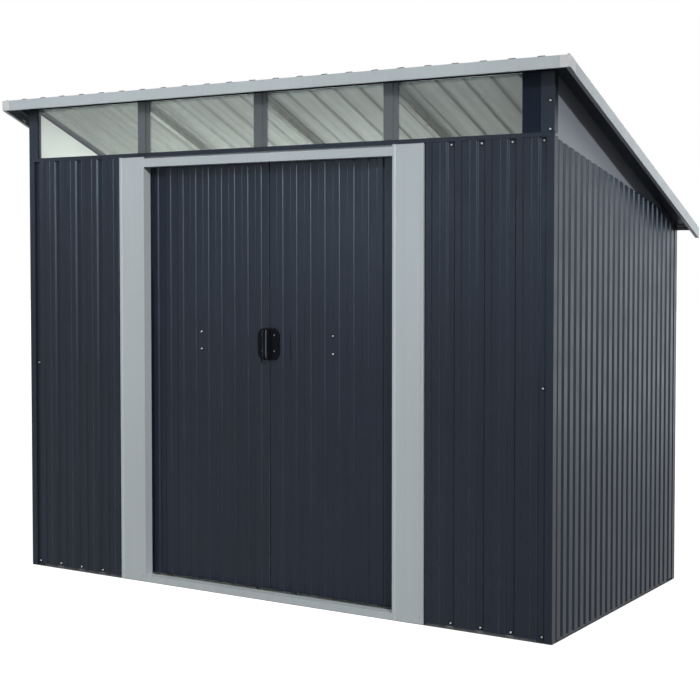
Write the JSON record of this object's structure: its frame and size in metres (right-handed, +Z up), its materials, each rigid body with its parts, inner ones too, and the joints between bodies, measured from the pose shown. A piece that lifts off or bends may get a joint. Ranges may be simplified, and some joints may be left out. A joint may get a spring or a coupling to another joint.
{
  "type": "metal storage shed",
  "caption": "Lean-to metal storage shed of ribbed sheets with a window row under the roof and a pair of sliding doors hung from a track.",
  "frame": {"origin": "on the ground, at the middle of the rectangle that the walls stand on and of the anchor holes", "axes": "+X along the front to the right of someone facing the door, +Y towards the back, +Z up"},
  "size_m": [2.57, 1.285, 1.9644],
  "materials": {
    "painted_sheet": "satin",
    "pale_trim": "satin",
    "dark_trim": "satin",
    "galvanised_steel": "galvanised",
    "clear_pane": "clear",
    "cap_plastic": "satin",
    "runner_plastic": "matte",
    "handle_plastic": "fine grain"
  },
  "bodies": {
    "shed": {"front_posts": "painted_sheet", "rear_posts": "painted_sheet", "front_left_sheet": "painted_sheet", "front_right_sheet": "painted_sheet", "left_wall": "painted_sheet", "right_wall": "painted_sheet", "rear_left_sheet": "painted_sheet", "rear_right_sheet": "painted_sheet", "window_posts": "painted_sheet", "blank_plate": "painted_sheet", "left_gable": "painted_sheet", "right_gable": "painted_sheet", "roof_sheet_1": "painted_sheet", "roof_sheet_2": "painted_sheet", "roof_sheet_3": "painted_sheet", "roof_sheet_4": "painted_sheet", "window_sill": "painted_sheet", "head_rail": "painted_sheet", "side_top_rails": "painted_sheet", "threshold": "pale_trim", "left_jamb": "pale_trim", "right_jamb": "pale_trim", "header": "pale_trim", "fascia": "pale_trim", "verge_trims": "pale_trim", "rear_trim": "pale_trim", "mullions": "dark_trim", "front_base_rail": "galvanised_steel", "rear_base_rail": "galvanised_steel", "side_base_rails": "galvanised_steel", "bottom_track": "galvanised_steel", "top_track": "galvanised_steel", "rear_top_rail": "galvanised_steel", "mid_rails": "galvanised_steel", "roof_beams": "galvanised_steel", "window_panes": "clear_pane", "corner_caps": "cap_plastic"},
    "left_leaf": {"left_door": "painted_sheet", "left_door_frame": "painted_sheet", "left_door_runners": "runner_plastic", "left_handle": "handle_plastic"},
    "right_leaf": {"right_door": "painted_sheet", "right_door_frame": "painted_sheet", "right_door_runners": "runner_plastic", "right_handle": "handle_plastic"}
  },
  "joints": [
    {"name": "left_slide", "type": "slide", "parent": "shed", "child": "left_leaf", "axis": [-1, 0, 0], "range_m": [0, 0.5]},
    {"name": "right_slide", "type": "slide", "parent": "shed", "child": "right_leaf", "axis": [1, 0, 0], "range_m": [0, 0.5]}
  ]
}
